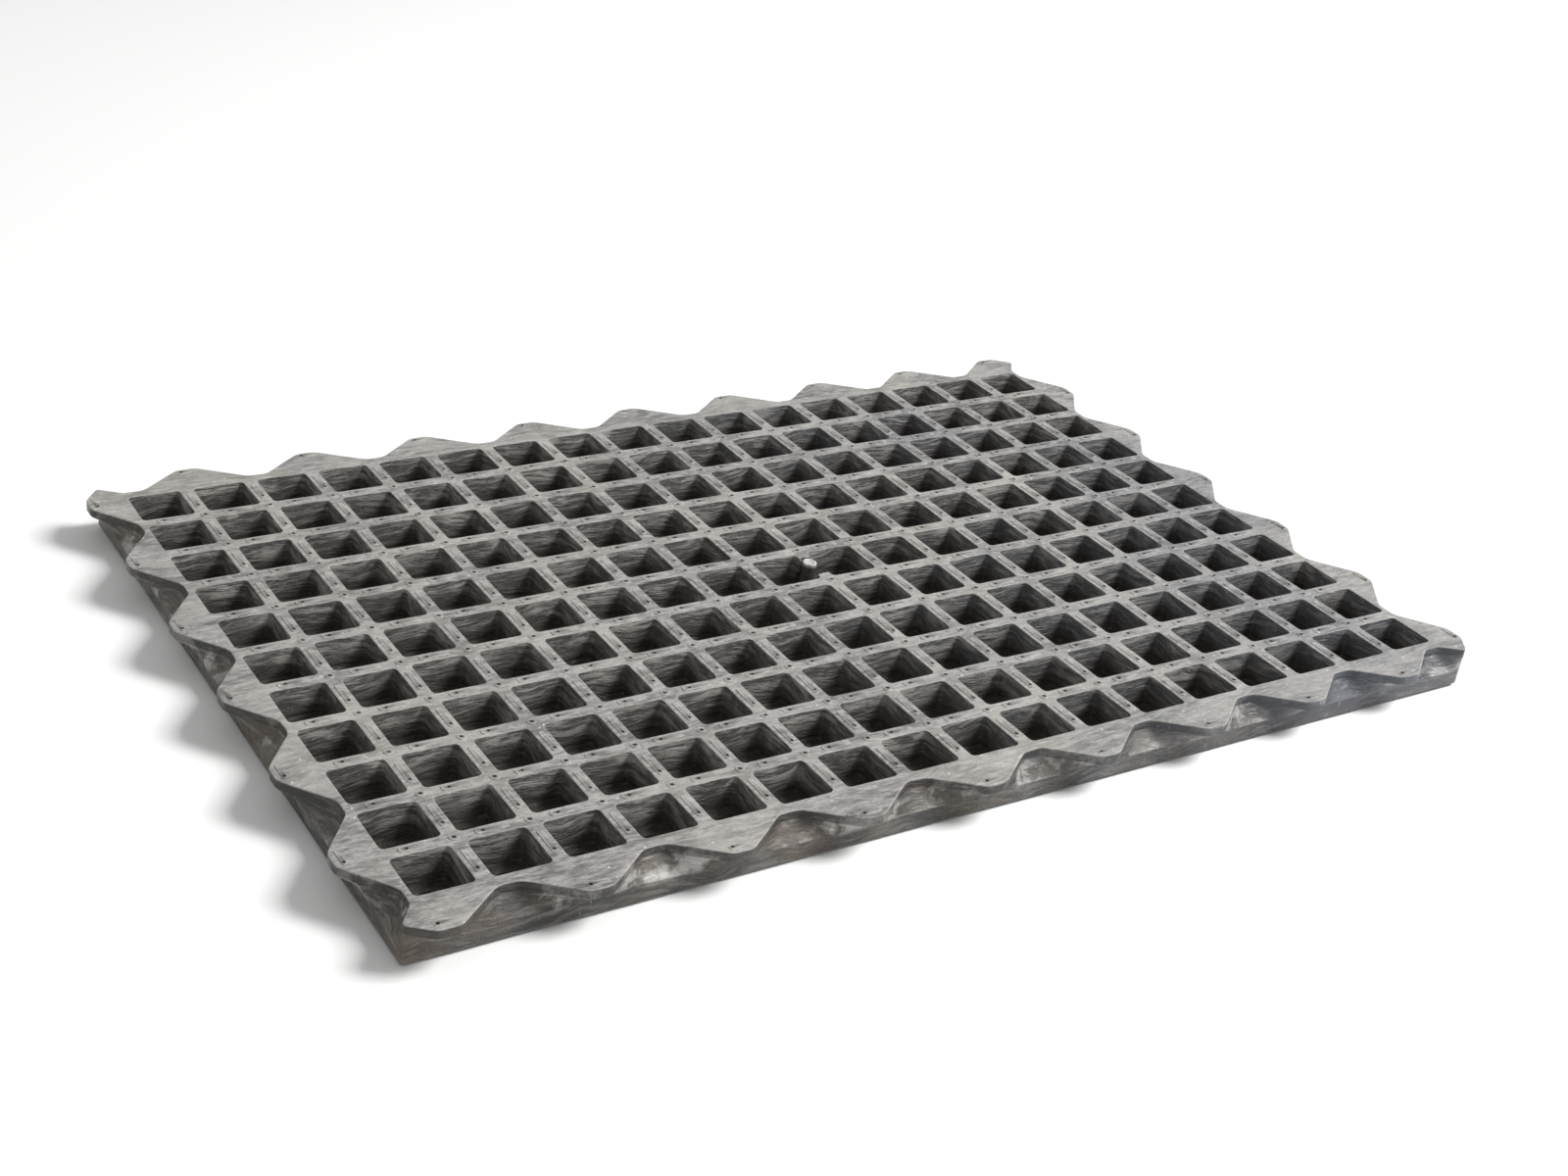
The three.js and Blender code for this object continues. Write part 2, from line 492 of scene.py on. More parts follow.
def build_grid_face(skin, place):
    """Rib tops with their nubs, bars and pin marks."""
    grid, slope = place.grid, place.grid.mark_slope
    columns, rows = grid.columns, grid.rows
    for column, row in place.cells():
        ring = place.mouth(column, row, grid.edge_round)
        sides = [
            None if place.is_border(column, row, side) else place.rib_bar(column, row, side)
            for side in range(4)
        ]
        corners = []
        for corner, (right, back) in enumerate(((1, 1), (0, 1), (0, 0), (1, 0))):
            inside = 0 < column + right < columns and 0 < row + back < rows
            corners.append(place.nub(column + right, row + back) if inside else None)
        build_tile(skin, ring, corners, sides, place.rib_level, GRID_FACE, place, column, row)
        for side in (0, 1):
            if sides[side]:
                face = place.rib_bar(column, row, side, -slope)
                cap = build_pad(skin, sides[side], face, place.rib_level, place.top, GRID_FACE)
                x, y = turned(place.half, 0, side, *place.cell_middle(column, row))
                if side == 0:
                    build_pin(skin, cap, x, y - grid.y_bar_pin, place, 1)
                else:
                    build_pin(skin, cap, x - grid.x_bar_pin, y, place, 0)
    for column in range(1, columns):
        for row in range(1, rows):
            x, y = place.crossing(column, row)
            foot, face = place.nub(column, row), place.nub(column, row, -slope)
            cap = build_pad(skin, foot, face, place.rib_level, place.top, GRID_FACE)
            build_pin(skin, cap, x, y, place, 0)


def build_tread_face(skin, place):
    """The plate's underside with its raised squares and dashes."""
    grid, tread = place.grid, place.tread
    high = place.base_level - tread.relief
    changes = (-tread.slope, -tread.slope - tread.edge)
    for column, row in place.cells():
        x, y = place.cell_middle(column, row)
        ring = circle(x, y, grid.drain + 2 * grid.drain_edge, ARC_STEPS + 2)
        corners = [
            place.square(column + right, row + back) for right, back in ((1, 1), (0, 1), (0, 0), (1, 0))
        ]
        sides = [place.dash(column, row, side) for side in range(4)]
        build_tile(skin, ring, corners, sides, place.base_level, TREAD_FACE, place, column, row)
        for side in range(4):
            if side < 2 or place.is_border(column, row, side):
                outlines = [place.dash(column, row, side, change) for change in changes]
                build_raised(skin, sides[side], outlines, place, high)
    for column in range(grid.columns + 1):
        for row in range(grid.rows + 1):
            outlines = [place.square(column, row, change) for change in changes]
            build_raised(skin, place.square(column, row), outlines, place, high)


def build_raised(skin, foot, outlines, place, high):
    """A square or dash of the tread face, with a rounded edge."""
    shoulder = (outlines[0], high + place.tread.edge)
    cap = build_pad(skin, foot, outlines[1], place.base_level, high, TREAD_FACE, 1.0, shoulder)
    skin.face(cap, TREAD_FACE)


def toothed_side(place, start, extent, side):
    """The corners of one side of the rim's outline, with the place of each on the middle line of the teeth."""
    rim = place.rim
    teeth = max(1, round(extent / rim.tooth_pitch))
    pitch, reach, flat = extent / teeth, rim.tooth_depth / 2, rim.tooth_flat / 2
    marks = [(0.0, 0.0)]
    for tooth in range(teeth):
        for middle, out in ((tooth + 0.25, reach), (tooth + 0.75, -reach)):
            marks += [(middle * pitch - flat, out), (middle * pitch + flat, out)]
    return [turned(out, along, side, *start) for along, out in marks]


def rim_corners(place):
    """The rim's outline with sharp corners, counterclockwise from the front left corner."""
    x, y = place.rim_x, place.rim_y
    return (
        toothed_side(place, (-x, -y), 2 * x, 3)
        + toothed_side(place, (x, -y), 2 * y, 0)
        + toothed_side(place, (x, y), 2 * x, 1)
        + toothed_side(place, (-x, y), 2 * y, 2)
    )


def rim_outline(place, arc_steps=3, flank_steps=4):
    """The rim's outline with each corner rounded and its straight stretches divided."""
    corners = [Vector(corner) for corner in rim_corners(place)]
    cut = place.rim.tooth_round
    points = []
    for i, corner in enumerate(corners):
        before, after = corners[i - 1], corners[(i + 1) % len(corners)]
        start = corner + (before - corner).normalized() * min(cut, (before - corner).length / 2.4)
        end = corner + (after - corner).normalized() * min(cut, (after - corner).length / 2.4)
        for step in range(arc_steps + 1):
            t = step / arc_steps
            points.append(start * (1 - t) ** 2 + corner * 2 * t * (1 - t) + end * t**2)
        follow = after + (corner - after).normalized() * min(cut, (after - corner).length / 2.4)
        divisions = flank_steps if (after - corner).length > place.rim.tooth_flat * 1.2 else 2
        points += [end.lerp(follow, step / divisions) for step in range(1, divisions)]
    return points


def plate_point(place, point, shrink=0.0):
    """Where a point of the rim's outline comes down on the plate's straight edge, or further in."""
    x_edge, y_edge = place.plate_x - shrink, place.plate_y - shrink
    x, y = min(abs(point.x), x_edge), min(abs(point.y), y_edge)
    if abs(point.x) - place.rim_x > abs(point.y) - place.rim_y:
        x = x_edge
    else:
        y = y_edge
    return Vector((math.copysign(x, point.x), math.copysign(y, point.y)))


def inset(points, distance):
    """A closed outline moved inwards."""
    moved = []
    for i, point in enumerate(points):
        way = (points[(i + 1) % len(points)] - points[i - 1]).normalized()
        moved.append(point + Vector((-way.y, way.x)) * distance)
    return moved


def build_rim_side(skin, place):
    """Lip, scoops and plate edge. Gives back the upper and the lower edge of the side."""
    rim = place.rim
    lip = rim_outline(place)
    edge_lean = rim.plate_round * (1 - math.sqrt(0.5))
    ledge, plate, shoulder, lower = (
        [plate_point(place, point, shrink) for point in lip]
        for shrink in (-rim.plate_ledge, 0.0, edge_lean, rim.plate_round)
    )
    slack, lean = rim.lip_round, rim.lip_round * (1 - math.sqrt(0.5))
    lip_foot = place.top - rim.lip
    upper = inset(lip, slack)
    rows = [
        skin.row(upper, place.rib_level),
        skin.row(inset(lip, lean), place.rib_level - lean, worn=1.0),
        skin.row(lip, place.rib_level - slack),
    ]
    skin.bands(rows, GRID_FACE)
    side = [rows[-1], skin.row(lip, lip_foot)]
    overhangs = [max(abs(point.x) - place.plate_x, abs(point.y) - place.plate_y) for point in lip]
    steps = 6
    for step in range(1, steps + 1):
        share = step / steps
        level = lip_foot + (rim.plate_top - lip_foot) * share
        bow = 4 * share * (1 - share) * rim.hollow / (rim.tooth_depth / 2)
        row = []
        for low, high, overhang in zip(ledge, lip, overhangs):
            x, y = high.lerp(low, share)
            row.append(skin.point(x, y, level + overhang * bow))
        side.append(row)
    side.append(skin.row(ledge, rim.plate_top - 2 * rim.plate_ledge))
    side.append(skin.row(plate, rim.plate_top - 4 * rim.plate_ledge))
    side.append(skin.row(plate, place.base_level + rim.plate_round))
    side.append(skin.row(shoulder, place.base_level + edge_lean, worn=1.0))
    side.append(skin.row(lower, place.base_level))
    skin.bands(side, RIM_SIDE)
    return upper, lower


def fill_between(skin, loops, level, zone):
    """Triangles on one level between an outer loop and the loops inside it."""
    points, edges = [], []
    for loop in loops:
        first = len(points)
        points += [Vector(point) for i, point in enumerate(loop) if Vector(point) != Vector(loop[i - 1])]
        count = len(points) - first
        edges += [(first + i, first + (i + 1) % count) for i in range(count)]
    _, _, triangles, sources, *_ = delaunay_2d_cdt(points, edges, [], 1, WELD)
    walls = {frozenset(edge) for edge in edges}
    beside = {}
    for number, triangle in enumerate(triangles):
        for i, corner in enumerate(triangle):
            edge = frozenset((sources[triangle[i - 1]][0], sources[corner][0]))
            beside.setdefault(edge, []).append(number)
    ready = list(beside[frozenset(edges[0])])
    kept = set(ready)
    while ready:
        triangle = triangles[ready.pop()]
        for i, corner in enumerate(triangle):
            edge = frozenset((sources[triangle[i - 1]][0], sources[corner][0]))
            fresh = [] if edge in walls else [number for number in beside[edge] if number not in kept]
            kept.update(fresh)
            ready += fresh
    for number in sorted(kept):
        skin.face(skin.row([points[sources[i][0]] for i in triangles[number]], level), zone)


def border_loop(place, part_at_side, part_at_corner):
    """A loop around all border cells, counterclockwise from the front left, from its repeated parts."""
    columns, rows = place.grid.columns, place.grid.rows
    runs = (
        (3, [(column, 0) for column in range(columns)]),
        (0, [(columns - 1, row) for row in range(rows)]),
        (1, [(column, rows - 1) for column in reversed(range(columns))]),
        (2, [(0, row) for row in reversed(range(rows))]),
    )
    loop = []
    for side, cells in runs:
        for i, cell in enumerate(cells):
            loop += part_at_corner(*cell, side, i == 0)
            loop += part_at_side(*cell, side, i == len(cells) - 1)
    return loop


def build_rim_top(skin, place, upper):
    """The rim's flat top between the lip and the border cells, with a raised bar near each tooth tip."""
    grid, rim = place.grid, place.rim

    def rib_end(column, row, side, first):
        if first:
            return []
        x, y = place.cell_middle(column, row)
        diagonal = second_half(quarter_of(place.mouth(column, row, grid.edge_round), side - 1))[0]
        out = abs(diagonal[0] - x)
        return [turned(out, -place.half, side, x, y)]

    def mouth_side(column, row, side, last):
        ring = place.mouth(column, row, grid.edge_round)
        along = second_half(quarter_of(ring, side - 1)) + first_half(quarter_of(ring, side))[1:]
        return along[:-1] if last else along

    loops = [upper, border_loop(place, mouth_side, rib_end)]
    slope = grid.mark_slope
    corners = rim_corners(place)
    for a, b in zip(corners, corners[1:]):
        middle = (Vector(a) + Vector(b)) / 2
        x_excess, y_excess = abs(middle.x) - place.rim_x, abs(middle.y) - place.rim_y
        if max(x_excess, y_excess) < rim.tooth_depth * 0.49:
            continue
        upright = x_excess > y_excess
        way = Vector((math.copysign(1, middle.x), 0)) if upright else Vector((0, math.copysign(1, middle.y)))
        x, y = middle - way * rim.bar_inset
        x_half, y_half = (rim.bar_width / 2, rim.bar / 2) if upright else (rim.bar / 2, rim.bar_width / 2)
        reach = [x_half, y_half, x_half, y_half]
        foot = block(x, y, reach, grid.bar_round, 1)
        loops.append(foot)
        face = block(x, y, resized(reach, -slope), grid.bar_round - slope, 1)
        cap = build_pad(skin, foot, face, place.rib_level, place.top, GRID_FACE)
        if upright:
            build_pin(skin, cap, x, y - rim.bar_pin, place, 1)
        else:
            build_pin(skin, cap, x - rim.bar_pin, y, place, 0)
    fill_between(skin, loops, place.rib_level, GRID_FACE)


def build_tread_border(skin, place, lower):
    """The tread face between the plate's edge and the outermost cells."""

    def dash_side(column, row, side, last):
        dash = place.dash(column, row, side)
        return quarter_of(dash, side - 1) + quarter_of(dash, side)[1:]

    def square_part(column, row, side, first):
        corner = {3: (0, 0), 0: (1, 0), 1: (1, 1), 2: (0, 1)}[side]
        square = place.square(column + corner[0], row + corner[1])
        start = quarter_of(square, side - 2)[:-1] if first else []
        return start + quarter_of(square, side - 1) + quarter_of(square, side)[1:]

    fill_between(skin, [lower, border_loop(place, dash_side, square_part)], place.base_level, TREAD_FACE)


def settled(x, y, z):
    """The slight unevenness of a moulding that cooled freely, kept inside the CAD box."""
    place = Vector((x, y, z))
    moved = place.copy()
    for waves, height in UNEVENNESS:
        moved += noise.noise_vector(place * waves) * height
    return tuple(max(low, min(high, value)) for value, low, high in zip(moved, cad_low, cad_high))


def skin_object(skin, name, materials, uneven=True):
    """The collected faces as one object with its finish zones and masks."""
    mesh = bpy.data.meshes.new(name)
    places = [settled(*point) for point in skin.points] if uneven else skin.points
    mesh.from_pydata(places, [], skin.faces)
    for material in materials:
        mesh.materials.append(material)
    mesh.polygons.foreach_set("material_index", skin.zones)
    for mask, values in (("worn", skin.worn), ("soil", skin.soil)):
        mesh.attributes.new(mask, "FLOAT", "POINT").data.foreach_set("value", values)
    work = bmesh.new()
    work.from_mesh(mesh)
    bmesh.ops.recalc_face_normals(work, faces=work.faces)
    open_edges = sum(1 for edge in work.edges if len(edge.link_faces) != 2)
    work.to_mesh(mesh)
    work.free()
    if open_edges:
        raise RuntimeError(f"{name} isn't closed: {open_edges} open edges")
    piece = bpy.data.objects.new(name, mesh)
    bpy.context.collection.objects.link(piece)
    return piece


def break_rib(mat, place, scar):
    """Takes the ragged gap out of one rib, down to a low sill."""
    x, y = turned(place.half, 0, 0, *place.cell_middle(scar.column, scar.row))
    low, high = place.grid.floor_level + scar.sill, place.top * 1.3
    middle = Vector((x, y + (scar.gap_back - scar.gap_front) / 2, (low + high) / 2))
    size = Vector((place.half * 0.9, scar.gap_front + scar.gap_back, high - low))
    work = bmesh.new()
    bmesh.ops.create_cube(work, size=1.0)
    bmesh.ops.subdivide_edges(work, edges=work.edges, cuts=9, use_grid_fill=True)
    for corner in work.verts:
        corner.co = middle + corner.co * size
        corner.co += noise.noise_vector(corner.co * 260.0) * scar.ragged
    mesh = bpy.data.meshes.new("gap")
    work.to_mesh(mesh)
    work.free()
    for material in mat.data.materials:
        mesh.materials.append(material)
    mesh.polygons.foreach_set("material_index", [CELL_WALL] * len(mesh.polygons))
    gap = bpy.data.objects.new("gap", mesh)
    bpy.context.collection.objects.link(gap)
    cut = mat.modifiers.new("Broken rib", "BOOLEAN")
    cut.operation, cut.solver, cut.object = "DIFFERENCE", "MANIFOLD", gap
    whole = mat.data
    result = mat.evaluated_get(bpy.context.evaluated_depsgraph_get())
    mat.data = bpy.data.meshes.new_from_object(result)
    mat.modifiers.remove(cut)
    bpy.data.objects.remove(gap)
    if len(mat.data.polygons) == len(whole.polygons):
        raise RuntimeError("the gap in the rib wasn't cut")
    bpy.data.meshes.remove(whole)


def build_stub(place, scar):
    """A snapped sprue: a tapered post on the sill with an uneven, dished top."""
    skin = Skin()
    x, y = turned(place.half, scar.stub_back, 0, *place.cell_middle(scar.column, scar.row))
    low = place.grid.floor_level + scar.sill / 2
    tall = scar.stub_top - low
    profile = (
        (1.5, 0.0), (1.32, 0.12), (1.16, 0.24), (1.07, 0.4), (1.02, 0.6), (1.0, 0.8), (0.99, 0.93),
        (0.95, 0.975), (0.86, 0.992), (0.66, 0.98), (0.44, 0.955), (0.22, 0.945),
    )
    rings = []
    for share, rise in profile:
        ring = []
        for a, b in circle(0, 0, scar.stub * share, 9):
            uneven = noise.noise(Vector((a, b, rise * tall)) * 210.0)
            level = low + rise * tall + uneven * scar.ragged * 0.35 * max(0.0, rise - 0.85) / 0.15
            swell = 1 + 0.05 * uneven
            worn = 1.0 if rise > 0.9 else 0.3
            ring.append(skin.point(x + a * swell, y + b * swell, min(level, place.top), worn))
        rings.append(ring)
    skin.bands(rings, GRID_FACE)
    skin.face(rings[0], GRID_FACE)
    skin.face(rings[-1], GRID_FACE)
    return skin


def smooth(piece, angle):
    """Smooth shading that keeps edges sharper than the angle."""
    piece.data.shade_smooth()
    piece.data.set_sharp_from_angle(angle=math.radians(angle))
    weighted = piece.modifiers.new("Weighted normals", "WEIGHTED_NORMAL")
    weighted.keep_sharp = True
    weighted.weight = 80


def settings_of(context):
    return context.scene.grid_mat


class Nodes:
    """Places nodes in one tree. An input is a value, or another node's output to link."""

    def __init__(self, tree):
        self.tree = tree

    def add(self, kind, inputs=None, **settings):
        node = self.tree.nodes.new(kind)
        for name, value in settings.items():
            setattr(node, name, value)
        for socket, value in (inputs or {}).items():
            if isinstance(value, bpy.types.NodeSocket):
                self.tree.links.new(value, node.inputs[socket])
            else:
                node.inputs[socket].default_value = value
        return node

    def mix(self, share, low, high):
        """A colour that goes from low to high with the share."""
        inputs = {0: share}
        for socket, value in ((6, low), (7, high)):
            inputs[socket] = value if isinstance(value, bpy.types.NodeSocket) else (*value, 1)
        return self.add("ShaderNodeMix", inputs, data_type="RGBA").outputs[2]

    def math(self, operation, first, second=0.0, clamp=False):
        node = self.add("ShaderNodeMath", {0: first, 1: second}, operation=operation, use_clamp=clamp)
        return node.outputs[0]

    def spread(self, value, low, high, start=0.0, end=1.0):
        """A value between low and high as a smooth share from start to end."""
        inputs = {0: value, 1: low, 2: high, 3: start, 4: end}
        return self.add("ShaderNodeMapRange", inputs, interpolation_type="SMOOTHSTEP").outputs[0]

    def noise(self, vector, scale, detail=3.0, roughness=0.5):
        inputs = {"Vector": vector, "Scale": scale, "Detail": detail, "Roughness": roughness}
        return self.add("ShaderNodeTexNoise", inputs).outputs[0]

    def place(self):
        return self.add("ShaderNodeTexCoord").outputs["Object"]

    def vector(self, operation, inputs, output=0):
        return self.add("ShaderNodeVectorMath", inputs, operation=operation).outputs[output]

    def stretched(self, vector, stretch):
        return self.vector("MULTIPLY", {0: vector, 1: stretch})

    def part_of(self, vector, axis):
        return self.add("ShaderNodeSeparateXYZ", {0: vector}).outputs[axis]

    def mask(self, name):
        return self.add("ShaderNodeAttribute", attribute_name=name).outputs["Fac"]

    def link(self, value, socket):
        self.tree.links.new(value, socket)

    def group(self, make, **inputs):
        """A shared effect, built once, with its own values here."""
        title = make.__name__.replace("_", " ").capitalize()
        node = self.add("ShaderNodeGroup", node_tree=bpy.data.node_groups.get(title) or make())
        for name, value in inputs.items():
            node.inputs[name.replace("_", " ").capitalize()].default_value = value
        return node.outputs

    def coat(self, colour, top, make, **inputs):
        """A colour with another laid over it where a shared effect shows."""
        return self.mix(self.group(make, **inputs)[0], colour, top)


def effect(name, inputs, outputs):
    """An empty shader node group, with the nodes that hold its inputs and outputs."""
    group = bpy.data.node_groups.new(name, "ShaderNodeTree")
    for label, default in inputs.items():
        kind = "NodeSocketFloat" if isinstance(default, float) else "NodeSocketVector"
        group.interface.new_socket(label, in_out="INPUT", socket_type=kind).default_value = default
    for label in outputs:
        group.interface.new_socket(label, in_out="OUTPUT", socket_type="NodeSocketFloat")
    nodes = Nodes(group)
    return nodes, nodes.add("NodeGroupInput").outputs, nodes.add("NodeGroupOutput").inputs


def flow_streaks():
    """Streaks where the molten plastic flowed, bent by a slow swirl."""
    inputs = {"Stretch": (12.0, 60.0, 60.0), "Swirl": 0.02, "Low": 0.4, "High": 0.65}
    nodes, given, made = effect("Flow streaks", inputs, ("Streak", "Grain"))
    place = nodes.place()
    drift = nodes.add("ShaderNodeTexNoise", {"Vector": place, "Scale": 11.0, "Detail": 2.0}).outputs[1]
    centred = nodes.vector("SUBTRACT", {0: drift, 1: (0.5, 0.5, 0.5)})
    bend = nodes.vector("SCALE", {0: centred, "Scale": given["Swirl"]})
    bent = nodes.vector("ADD", {0: place, 1: bend})
    along = nodes.stretched(bent, given["Stretch"])
    nodes.link(nodes.spread(nodes.noise(along, 1.0, 6.0, 0.68), given["Low"], given["High"]), made["Streak"])
    nodes.link(nodes.noise(along, 4.3, 4.0, 0.6), made["Grain"])
    return nodes.tree


def edge_wear_and_highlight():
    """Scuffed plastic along rounded edges, with painted highlights there too, broken up by noise."""
    nodes, given, made = effect("Edge wear and highlight", {"Amount": 0.8}, ("Mask",))
    patches = nodes.spread(nodes.noise(nodes.place(), 90.0, 4.0, 0.6), 0.35, 0.62)
    worn = nodes.math("MULTIPLY", nodes.mask("worn"), patches)
    nodes.link(nodes.math("MULTIPLY", worn, given["Amount"], clamp=True), made["Mask"])
    return nodes.tree


def settled_soil():
    """Soil that stays in hollows and corners, with painted shade there too."""
    nodes, given, made = effect("Settled soil", {"Amount": 1.0}, ("Mask",))
    patches = nodes.spread(nodes.noise(nodes.place(), 140.0, 3.0, 0.6), 0.2, 0.6, 0.55, 1.0)
    deep = nodes.math("MULTIPLY", nodes.mask("soil"), patches)
    nodes.link(nodes.math("MULTIPLY", deep, given["Amount"], clamp=True), made["Mask"])
    return nodes.tree


def dust_film():
    """Dust on faces that look up, thicker in patches."""
    nodes, given, made = effect("Dust film", {"Amount": 0.5, "Patch scale": 7.0}, ("Mask",))
    normal = nodes.add("ShaderNodeNewGeometry").outputs["Normal"]
    upward = nodes.spread(nodes.part_of(normal, 2), 0.25, 0.95)
    patches = nodes.spread(nodes.noise(nodes.place(), given["Patch scale"], 5.0, 0.62), 0.38, 0.66)
    film = nodes.math("MULTIPLY", upward, patches)
    nodes.link(nodes.math("MULTIPLY", film, given["Amount"], clamp=True), made["Mask"])
    return nodes.tree


def batch_tone():
    """How far a bluish batch of plastic shows: more towards the +X end."""
    nodes, given, made = effect("Batch tone", {"Amount": 0.5}, ("Mask",))
    place = nodes.place()
    along = nodes.spread(nodes.part_of(place, 0), -0.35, 0.6)
    cloud = nodes.spread(nodes.noise(place, 3.1, 4.0, 0.6), 0.35, 0.65)
    tone = nodes.math("MULTIPLY", along, cloud)
    nodes.link(nodes.math("MULTIPLY", tone, given["Amount"], clamp=True), made["Mask"])
    return nodes.tree


def flecks():
    """Small bits of other plastic in the melt."""
    nodes, given, made = effect("Flecks", {"Scale": 420.0, "Share": 0.04}, ("Mask",))
    cells = nodes.add("ShaderNodeTexVoronoi", {"Vector": nodes.place(), "Scale": given["Scale"]})
    chance = nodes.add("ShaderNodeSeparateColor", {0: cells.outputs["Color"]}).outputs[0]
    chosen = nodes.math("LESS_THAN", chance, given["Share"])
    near = nodes.spread(cells.outputs["Distance"], 0.45, 0.2)
    nodes.link(nodes.math("MULTIPLY", chosen, near), made["Mask"])
    return nodes.tree


def scuffs():
    """Long thin scratches in a few places, most of all where something was dragged over the middle."""
    inputs = {"Stretch": (30.0, 420.0, 90.0), "Amount": 0.6}
    nodes, given, made = effect("Scuffs", inputs, ("Mask",))
    place = nodes.place()
    turned_place = nodes.add("ShaderNodeVectorRotate", {"Vector": place, "Angle": 0.9}).outputs[0]
    lines = nodes.spread(nodes.noise(nodes.stretched(turned_place, given["Stretch"]), 1.0, 2.0), 0.66, 0.74)
    spots = nodes.spread(nodes.noise(place, 6.0, 2.0), 0.55, 0.68)
    apart = nodes.vector("DISTANCE", {0: place, 1: DRAG_PLACE}, "Value")
    dragged = nodes.spread(apart, 0.11, 0.05)
    marked = nodes.math("MULTIPLY", lines, nodes.math("MAXIMUM", spots, dragged))
    nodes.link(nodes.math("MULTIPLY", marked, given["Amount"], clamp=True), made["Mask"])
    return nodes.tree


def new_material(name):
    """A material with its nodes and its shader."""
    material = bpy.data.materials.new(name)
    material.use_nodes = True
    shader = material.node_tree.nodes["Principled BSDF"]
    shader.inputs["IOR"].default_value = 1.49
    return material, Nodes(material.node_tree), shader


def finish_shader(nodes, shader, colour, roughness, height, distance):
    nodes.link(colour, shader.inputs["Base Color"])
    nodes.link(roughness, shader.inputs["Roughness"])
    bump = nodes.add("ShaderNodeBump", {"Height": height, "Distance": distance, "Strength": 1.0})
    nodes.link(bump.outputs[0], shader.inputs["Normal"])


def streak_height(nodes, flow):
    return nodes.math("ADD", flow["Streak"], flow["Grain"])


def grid_face_plastic(finish):
    """Dusty rib tops and rim top, with flow streaks, scuffed edges with painted highlights, and soil with
    painted shade in the pin marks.
    """
    material, nodes, shader = new_material("grid_face_plastic")
    flow = nodes.group(flow_streaks, stretch=(50.0, 210.0, 120.0), swirl=0.02, low=0.38, high=0.62)
    broad = nodes.group(flow_streaks, stretch=(14.0, 60.0, 40.0), swirl=0.05, low=0.4, high=0.62)
    colour = nodes.mix(flow["Streak"], finish.rib_dark, finish.rib)
    colour = nodes.mix(nodes.math("MULTIPLY", broad["Streak"], 0.65), colour, finish.worn)
    colour = nodes.mix(nodes.spread(flow["Grain"], 0.5, 0.36, 0.0, 0.65), colour, finish.rib_dark)
    colour = nodes.coat(colour, finish.cool, batch_tone, amount=0.4)
    colour = nodes.coat(colour, finish.dust, dust_film, amount=0.35, patch_scale=9.0)
    colour = nodes.coat(colour, finish.scuff, scuffs, amount=0.9)
    colour = nodes.coat(colour, finish.worn, edge_wear_and_highlight, amount=0.75)
    colour = nodes.coat(colour, finish.scuff, flecks, scale=330.0, share=0.012)
    colour = nodes.coat(colour, finish.soil, settled_soil, amount=1.0)
    roughness = nodes.spread(flow["Grain"], 0.38, 0.62, 0.38, 0.68)
    finish_shader(nodes, shader, colour, roughness, streak_height(nodes, flow), 0.0005)
    return material


def cell_wall_plastic(finish):
    """Dark cell walls with light, grained flow streaks, and painted shade that darkens them towards the floor.
    """
    material, nodes, shader = new_material("cell_wall_plastic")
    flow = nodes.group(flow_streaks, stretch=(27.0, 27.0, 185.0), swirl=0.03, low=0.42, high=0.6)
    colour = nodes.mix(flow["Streak"], finish.wall_dark, finish.wall)
    colour = nodes.mix(nodes.spread(flow["Grain"], 0.52, 0.66, 0.0, 0.6), colour, finish.worn)
    patches = nodes.spread(nodes.noise(nodes.place(), 26.0, 4.0, 0.6), 0.42, 0.62, 0.0, 0.55)
    colour = nodes.mix(patches, colour, finish.wall_dark)
    colour = nodes.coat(colour, finish.cool, batch_tone, amount=0.4)
    colour = nodes.coat(colour, finish.worn, edge_wear_and_highlight, amount=0.6)
    # Painted shade: the walls darken with depth towards the floor.
    level = nodes.part_of(nodes.place(), 2)
    depth = nodes.spread(level, cad_high.z * 0.85, cad_high.z * 0.3, 0.0, 0.85)
    colour = nodes.mix(depth, colour, finish.soil)
    colour = nodes.coat(colour, finish.soil, settled_soil, amount=0.7)
    roughness = nodes.spread(flow["Grain"], 0.38, 0.62, 0.36, 0.68)
    finish_shader(nodes, shader, colour, roughness, streak_height(nodes, flow), 0.0012)
    return material


